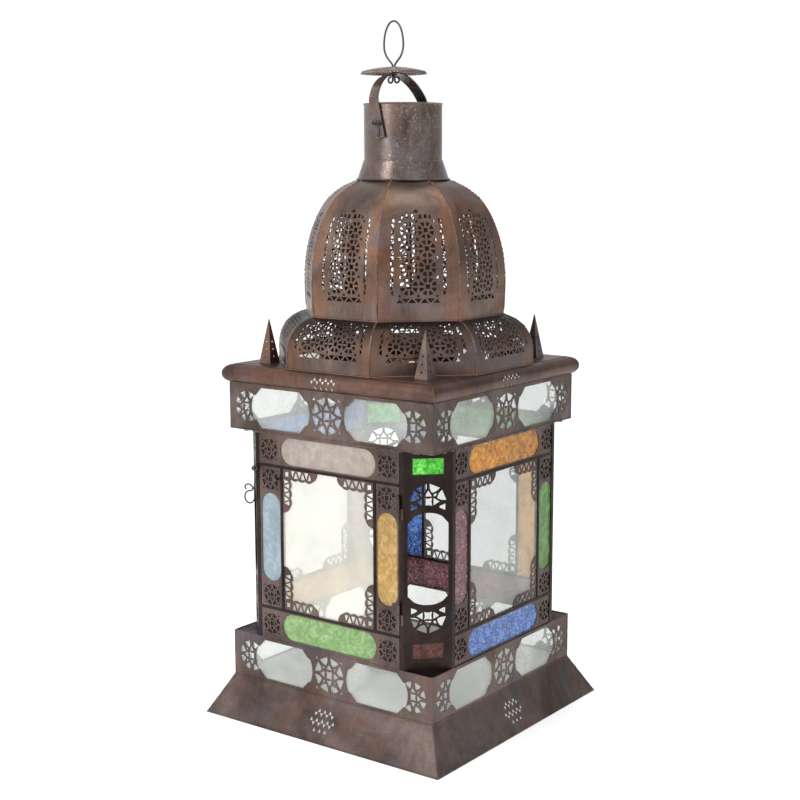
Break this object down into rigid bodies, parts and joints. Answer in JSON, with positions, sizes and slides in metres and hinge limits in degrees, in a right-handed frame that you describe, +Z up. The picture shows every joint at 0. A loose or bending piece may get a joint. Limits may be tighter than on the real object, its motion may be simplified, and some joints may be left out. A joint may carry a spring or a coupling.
{
  "type": "candle lantern",
  "caption": "Square pierced-metal candle lantern with stained glass panels, glazed bands, a hinged door, an eight-sided dome, a neck, a bail and a hanging loop.",
  "frame": {"origin": "on the ground, under the middle of the square foot", "axes": "+Z up through the neck; -Y towards the door; +X to the right of someone facing the door"},
  "size_m": [0.32, 0.32, 0.7643],
  "materials": {
    "aged_sheet": "dark oil-rubbed sheet with heat tints",
    "dark_sheet_top": "dark semi-gloss sheet",
    "holder_sheet": "dark sheet",
    "galvanised_sheet": "dull zinc",
    "steel_wire": "dark wire",
    "glass_clear": "clear, dusty",
    "glass_corner_green": "hammered",
    "glass_corner_red": "hammered",
    "glass_orange": "hammered",
    "glass_rose": "hammered",
    "glass_green": "hammered",
    "glass_blue": "hammered",
    "glass_amber": "hammered",
    "glass_door_pink": "hammered",
    "glass_door_blue": "hammered",
    "glass_door_amber": "hammered",
    "glass_door_green": "hammered",
    "glass_door_clear": "clear, dusty"
  },
  "bodies": {
    "lantern_body": {"base_skirt_panels": "aged_sheet", "base_floor_pan": "galvanised_sheet", "candle_saucer": "holder_sheet", "candle_cup": "holder_sheet", "lower_band_front": "aged_sheet", "lower_band_right": "aged_sheet", "lower_band_back": "aged_sheet", "lower_band_left": "aged_sheet", "upper_band_front": "aged_sheet", "upper_band_right": "aged_sheet", "upper_band_back": "aged_sheet", "upper_band_left": "aged_sheet", "band_panes": "glass_clear", "band_glass_clips": "aged_sheet", "corner_panel_front_right": "aged_sheet", "corner_panel_back_right": "aged_sheet", "corner_panel_back_left": "aged_sheet", "corner_panel_front_left": "aged_sheet", "corner_glass_green": "glass_corner_green", "corner_glass_red": "glass_corner_red", "corner_ledges": "aged_sheet", "side_frame_right": "aged_sheet", "side_pane_right": "glass_clear", "side_frame_back": "aged_sheet", "side_pane_back": "glass_clear", "side_frame_left": "aged_sheet", "side_pane_left": "glass_clear", "side_cames": "aged_sheet", "side_glass_orange": "glass_orange", "side_glass_rose": "glass_rose", "side_glass_green": "glass_green", "side_glass_blue": "glass_blue", "side_glass_amber": "glass_amber", "body_hinge_leaves": "aged_sheet", "hinge_pins": "steel_wire", "latch_stud": "steel_wire", "cornice": "aged_sheet", "roof_plates": "aged_sheet", "corner_finials": "aged_sheet", "tier_panels": "aged_sheet", "dome_panels": "aged_sheet", "neck_collar": "dark_sheet_top", "neck_tube": "dark_sheet_top", "bail_pins": "steel_wire"},
    "door": {"door_frame": "aged_sheet", "door_cames": "aged_sheet", "door_glass_pink": "glass_door_pink", "door_glass_blue": "glass_door_blue", "door_glass_amber": "glass_door_amber", "door_glass_green": "glass_door_green", "door_glass_clear": "glass_door_clear", "door_hinge_leaves": "aged_sheet", "door_keeper": "steel_wire"},
    "latch_hook": {"latch_hook": "steel_wire"},
    "bail": {"bail_strap": "dark_sheet_top"},
    "rain_disc": {"rain_disc": "dark_sheet_top"},
    "hanging_loop": {"hanging_loop": "steel_wire"}
  },
  "joints": [
    {"name": "door_hinge", "type": "hinge", "parent": "lantern_body", "child": "door", "pos_m": [0.0946, -0.1383, 0.21], "axis": [0, 0, 1], "range_deg": [0, 115]},
    {"name": "latch_swing", "type": "hinge", "parent": "lantern_body", "child": "latch_hook", "pos_m": [-0.0987, -0.1385, 0.2849], "axis": [0, -1, 0], "range_deg": [-15, 88]},
    {"name": "bail_swing", "type": "hinge", "parent": "lantern_body", "child": "bail", "pos_m": [0, 0, 0.65174], "axis": [0, 1, 0], "range_deg": [-28, 53]},
    {"name": "disc_spin", "type": "hinge", "parent": "bail", "child": "rain_disc", "pos_m": [-0.01247, 0, 0.70798], "axis": [0, 0, 1], "continuous": true},
    {"name": "loop_swivel", "type": "hinge", "parent": "bail", "child": "hanging_loop", "pos_m": [-0.01247, 0, 0.70798], "axis": [0, 0, 1], "continuous": true}
  ]
}
